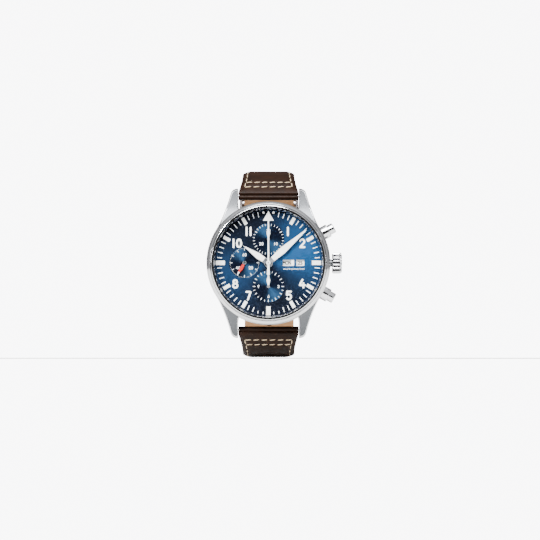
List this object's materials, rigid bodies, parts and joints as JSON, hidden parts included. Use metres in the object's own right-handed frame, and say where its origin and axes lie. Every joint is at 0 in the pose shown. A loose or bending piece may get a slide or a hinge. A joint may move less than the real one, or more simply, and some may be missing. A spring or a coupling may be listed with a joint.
{
  "type": "wristwatch",
  "caption": "Automatic chronograph wristwatch with day and date windows, sub-dials, crown and pushers, on an open two-piece leather strap with a pin buckle.",
  "frame": {"origin": "centre of the case back's outer face, where the watch rests on the wrist", "axes": "+X through the crown at three o'clock, +Z through twelve o'clock, -Y out through the dial and +Y out of the back towards the wrist"},
  "size_m": [0.0471, 0.1144, 0.0655],
  "materials": {
    "satin_steel": "satin brushed",
    "polished_steel": "polished stainless steel",
    "sapphire_glass": "clear domed sapphire, coated",
    "black_nylon": "matt",
    "soft_iron": "matt",
    "gilt_brass": "gilt",
    "blue_dial": "sunray lacquer",
    "white_print": "matt print",
    "hand_metal": "polished, filled with white lume",
    "red_enamel": "enamelled",
    "movement_steel": "polished",
    "spring_steel": "polished",
    "rhodium_plate": "plated and grained",
    "blued_steel": "blued",
    "balance_alloy": "gilt alloy",
    "brown_leather": "smooth waxed calf"
  },
  "bodies": {
    "case": {"case_middle": "satin_steel", "bezel": "polished_steel", "crystal": "sapphire_glass", "case_gaskets": "black_nylon", "case_back": "polished_steel", "magnetic_shield": "soft_iron", "movement_ring": "gilt_brass", "dial_flange": "polished_steel", "dial": "blue_dial", "crown_tube": "satin_steel", "pusher_tubes": "polished_steel", "start_spring": "spring_steel", "reset_spring": "spring_steel", "main_plate": "rhodium_plate", "train_bridge": "rhodium_plate", "balance_cock": "rhodium_plate", "automatic_bridge": "rhodium_plate", "bridge_screws": "blued_steel", "hairspring": "spring_steel", "rotor_bearing": "movement_steel", "spring_bars": "polished_steel"},
    "crown_seal": {"crown_gasket": "black_nylon"},
    "crown_and_stem": {"crown": "polished_steel", "winding_stem": "movement_steel"},
    "start_button": {"start_pusher": "polished_steel"},
    "reset_button": {"reset_pusher": "polished_steel"},
    "start_arm": {"start_lever": "movement_steel"},
    "reset_arm": {"reset_lever": "movement_steel"},
    "minutes": {"minute_hand": "hand_metal", "cannon_pinion": "movement_steel", "center_wheel": "gilt_brass"},
    "hours": {"hour_hand": "hand_metal", "hour_wheel": "gilt_brass"},
    "minute_work": {"minute_wheel": "gilt_brass"},
    "third": {"third_wheel": "gilt_brass"},
    "seconds": {"fourth_wheel": "gilt_brass", "small_seconds_hand": "red_enamel"},
    "escape": {"escape_wheel": "movement_steel"},
    "barrel": {"barrel_drum": "gilt_brass", "mainspring": "spring_steel"},
    "winding": {"barrel_arbor": "movement_steel", "ratchet_wheel": "movement_steel"},
    "chronograph": {"chrono_hand": "hand_metal", "chrono_wheel": "gilt_brass"},
    "minute_counter": {"minute_counter_hand": "hand_metal", "minute_counter_wheel": "gilt_brass"},
    "hour_counter": {"hour_counter_hand": "hand_metal", "hour_counter_wheel": "gilt_brass"},
    "date": {"date_disc": "white_print"},
    "day": {"day_disc": "white_print"},
    "winding_weight": {"rotor": "rhodium_plate"},
    "balance": {"balance_wheel": "balance_alloy"},
    "fork": {"pallet_fork": "movement_steel"},
    "upper_strap": {"strap_upper": "brown_leather", "fixed_keeper": "brown_leather", "buckle_pin": "polished_steel"},
    "lower_strap": {"strap_lower": "brown_leather"},
    "loose_keeper": {"free_keeper": "brown_leather"},
    "buckle": {"buckle_frame": "polished_steel"},
    "tongue": {"buckle_tongue": "polished_steel"}
  },
  "joints": [
    {"name": "crown_pull", "type": "slide", "parent": "case", "child": "crown_seal", "axis": [1, 0, 0], "range_m": [0, 0.0014]},
    {"name": "crown_turn", "type": "hinge", "parent": "crown_seal", "child": "crown_and_stem", "pos_m": [0.02205, -0.0066, 0], "axis": [1, 0, 0], "continuous": true},
    {"name": "ratchet_turn", "type": "hinge", "parent": "case", "child": "winding", "pos_m": [0.00478, -0.0033, 0.00401], "axis": [0, 1, 0], "continuous": true},
    {"name": "start_push", "type": "slide", "parent": "case", "child": "start_button", "axis": [-0.8788, 0, -0.4772], "range_m": [0, 0.001], "stiffness_N_per_m": 300, "deforming": ["start_spring"]},
    {"name": "reset_push", "type": "slide", "parent": "case", "child": "reset_button", "axis": [-0.8788, 0, 0.4772], "range_m": [0, 0.001], "stiffness_N_per_m": 300, "deforming": ["reset_spring"]},
    {"name": "start_lever_turn", "type": "hinge", "parent": "case", "child": "start_arm", "pos_m": [0.00934, -0.0066, 0.00962], "axis": [0, 1, 0], "range_deg": [0, 14.4]},
    {"name": "reset_lever_turn", "type": "hinge", "parent": "case", "child": "reset_arm", "pos_m": [0.00934, -0.0066, -0.00962], "axis": [0, 1, 0], "range_deg": [-14.4, 0]},
    {"name": "seconds_turn", "type": "hinge", "parent": "case", "child": "seconds", "pos_m": [-0.0083, -0.0048, 0], "axis": [0, 1, 0], "continuous": true},
    {"name": "minute_turn", "type": "hinge", "parent": "case", "child": "minutes", "pos_m": [0, -0.005, 0], "axis": [0, 1, 0], "continuous": true},
    {"name": "hour_turn", "type": "hinge", "parent": "case", "child": "hours", "pos_m": [0, -0.009, 0], "axis": [0, 1, 0], "continuous": true},
    {"name": "minute_wheel_turn", "type": "hinge", "parent": "case", "child": "minute_work", "pos_m": [0.00144, -0.0085, -0.00249], "axis": [0, 1, 0], "continuous": true},
    {"name": "third_turn", "type": "hinge", "parent": "case", "child": "third", "pos_m": [-0.00428, -0.005, -0.00138], "axis": [0, 1, 0], "continuous": true},
    {"name": "escape_turn", "type": "hinge", "parent": "case", "child": "escape", "pos_m": [-0.00901, -0.0064, -0.00403], "axis": [0, 1, 0], "continuous": true},
    {"name": "barrel_turn", "type": "hinge", "parent": "case", "child": "barrel", "pos_m": [0.00478, -0.005, 0.00401], "axis": [0, 1, 0], "continuous": true},
    {"name": "chrono_turn", "type": "hinge", "parent": "case", "child": "chronograph", "pos_m": [0, -0.0033, 0], "axis": [0, 1, 0], "continuous": true},
    {"name": "minute_counter_turn", "type": "hinge", "parent": "case", "child": "minute_counter", "pos_m": [0, -0.0033, 0.0082], "axis": [0, 1, 0], "continuous": true},
    {"name": "hour_counter_turn", "type": "hinge", "parent": "case", "child": "hour_counter", "pos_m": [0, -0.0069, -0.0082], "axis": [0, 1, 0], "continuous": true},
    {"name": "date_turn", "type": "hinge", "parent": "case", "child": "date", "pos_m": [0, -0.0093, 0], "axis": [0, 1, 0], "continuous": true},
    {"name": "day_turn", "type": "hinge", "parent": "case", "child": "day", "pos_m": [0, -0.0093, 0], "axis": [0, 1, 0], "continuous": true},
    {"name": "rotor_turn", "type": "hinge", "parent": "case", "child": "winding_weight", "pos_m": [0, -0.0019, 0], "axis": [0, 1, 0], "continuous": true},
    {"name": "balance_turn", "type": "hinge", "parent": "case", "child": "balance", "pos_m": [-0.0052, -0.0053, -0.0093], "axis": [0, 1, 0], "range_deg": [-270, 270], "stiffness_Nm_per_rad": 0.0000005},
    {"name": "fork_turn", "type": "hinge", "parent": "case", "child": "fork", "pos_m": [-0.0076, -0.0064, -0.00598], "axis": [0, 1, 0], "range_deg": [-5, 5]},
    {"name": "upper_strap_turn", "type": "hinge", "parent": "case", "child": "upper_strap", "pos_m": [0, -0.0026, 0.0234], "axis": [1, 0, 0], "range_deg": [-3, 45]},
    {"name": "lower_strap_turn", "type": "hinge", "parent": "case", "child": "lower_strap", "pos_m": [0, -0.0026, -0.0234], "axis": [-1, 0, 0], "range_deg": [-3, 45]},
    {"name": "keeper_slide", "type": "hinge", "parent": "upper_strap", "child": "loose_keeper", "pos_m": [0, 0.01214, -0.04892], "axis": [-1, 0, 0], "range_deg": [-12, 0.5]},
    {"name": "buckle_turn", "type": "hinge", "parent": "upper_strap", "child": "buckle", "pos_m": [0, 0.06347, 0.01244], "axis": [1, 0, 0], "range_deg": [-40, 40]},
    {"name": "tongue_turn", "type": "hinge", "parent": "buckle", "child": "tongue", "pos_m": [0, 0.06347, 0.01244], "axis": [1, 0, 0], "range_deg": [0, 75]}
  ],
  "couplings": [
    {"joint": "minute_turn", "follows": "seconds_turn", "ratio": 0.016667},
    {"joint": "hour_turn", "follows": "seconds_turn", "ratio": 0.0013889},
    {"joint": "minute_wheel_turn", "follows": "seconds_turn", "ratio": -0.0055556},
    {"joint": "third_turn", "follows": "seconds_turn", "ratio": -0.13333},
    {"joint": "escape_turn", "follows": "seconds_turn", "ratio": -12},
    {"joint": "barrel_turn", "follows": "seconds_turn", "ratio": -0.002381},
    {"joint": "minute_counter_turn", "follows": "chrono_turn", "ratio": 0.033333},
    {"joint": "hour_counter_turn", "follows": "chrono_turn", "ratio": 0.0013889},
    {"joint": "ratchet_turn", "follows": "crown_turn", "ratio": 0.2},
    {"joint": "start_lever_turn", "follows": "start_push", "rad_per_m": 250},
    {"joint": "reset_lever_turn", "follows": "reset_push", "rad_per_m": -250}
  ]
}
